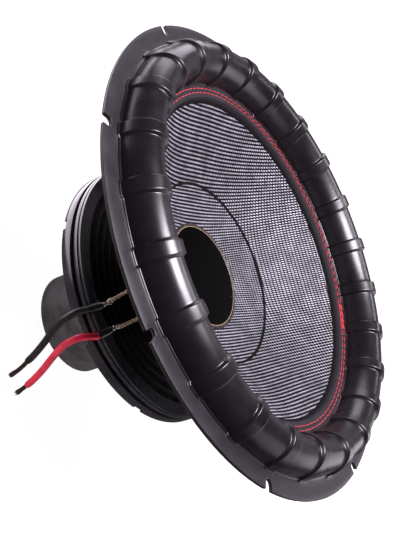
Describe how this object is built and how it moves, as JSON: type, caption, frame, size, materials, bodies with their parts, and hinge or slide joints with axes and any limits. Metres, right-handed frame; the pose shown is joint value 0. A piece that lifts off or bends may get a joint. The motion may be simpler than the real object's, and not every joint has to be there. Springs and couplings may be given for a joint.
{
  "type": "subwoofer cone assembly",
  "caption": "Drop-in moving assembly of a large car subwoofer: ribbed surround, woven cone, voice coil, ringed spider pack and two stripped leads.",
  "frame": {"origin": "centre of the voice coil's rear end, on the surface that the part stands on", "axes": "+Z along the coil axis towards the cone's mouth; the two leads leave the spider pack on the -Y side"},
  "size_m": [0.464, 0.464, 0.2653],
  "materials": {
    "surround_rubber": "satin moulded",
    "gasket_fibre": "pressed fibre",
    "weave": "black and silver plain weave, coated",
    "cone_pulp": "pressed and coated",
    "black_glue": "cured adhesive",
    "red_thread": "sewn thread",
    "former_fibre": "glass fibre laminate",
    "copper_wire": "enamelled copper winding",
    "coil_sleeve": "satin wrap",
    "collar_paper": "matt",
    "ring_plastic": "semi-gloss",
    "spider_cloth": "impregnated corrugated cloth",
    "terminal_metal": "tinned strip",
    "tinsel": "braided copper tinsel",
    "solder": "solder",
    "shrink_sleeve": "heat-shrink tube",
    "black_insulation": "silicone",
    "red_insulation": "silicone",
    "bare_copper": "tinned strands"
  },
  "bodies": {
    "cone_assembly": {"surround_inner_landing": "surround_rubber", "landing_glue_bead": "black_glue", "stitch_row_inner": "red_thread", "stitch_row_outer": "red_thread", "woven_skin": "weave", "cone_backing": "cone_pulp", "neck_glue_front": "black_glue", "neck_glue_rear": "black_glue", "coil_former": "former_fibre", "winding_inner_layer": "copper_wire", "winding_outer_layer": "copper_wire", "coil_wrap": "coil_sleeve", "former_collar": "collar_paper", "spider_glue_rear": "black_glue", "spider_glue_middle": "black_glue", "spider_glue_front": "black_glue", "tinsel_terminal_black": "terminal_metal", "tinsel_terminal_red": "terminal_metal"},
    "mounting_rim": {"surround_outer_landing": "surround_rubber", "surround_roll": "surround_rubber", "rim_gasket": "gasket_fibre"},
    "spider_pack": {"rear_ring": "ring_plastic", "spacer_ring": "ring_plastic", "middle_ring": "ring_plastic", "front_ring": "ring_plastic", "spider_rear": "spider_cloth", "spider_middle": "spider_cloth", "spider_front": "spider_cloth", "tinsel_lead_black": "tinsel", "tinsel_lead_red": "tinsel", "solder_joint_black": "solder", "solder_joint_red": "solder", "lead_sleeve_black": "shrink_sleeve", "lead_sleeve_red": "shrink_sleeve", "lead_black": "black_insulation", "lead_red": "red_insulation", "bare_end_black": "bare_copper", "bare_end_red": "bare_copper"}
  },
  "joints": [
    {"name": "surround_travel", "type": "slide", "parent": "cone_assembly", "child": "mounting_rim", "axis": [0, 0, 1], "range_m": [-0.025, 0.025], "stiffness_N_per_m": 3000, "deforming": ["surround_roll"]},
    {"name": "spider_travel", "type": "slide", "parent": "cone_assembly", "child": "spider_pack", "axis": [0, 0, 1], "range_m": [-0.025, 0.025], "stiffness_N_per_m": 4500, "deforming": ["spider_rear", "spider_middle", "spider_front", "tinsel_lead_black", "tinsel_lead_red"]}
  ]
}
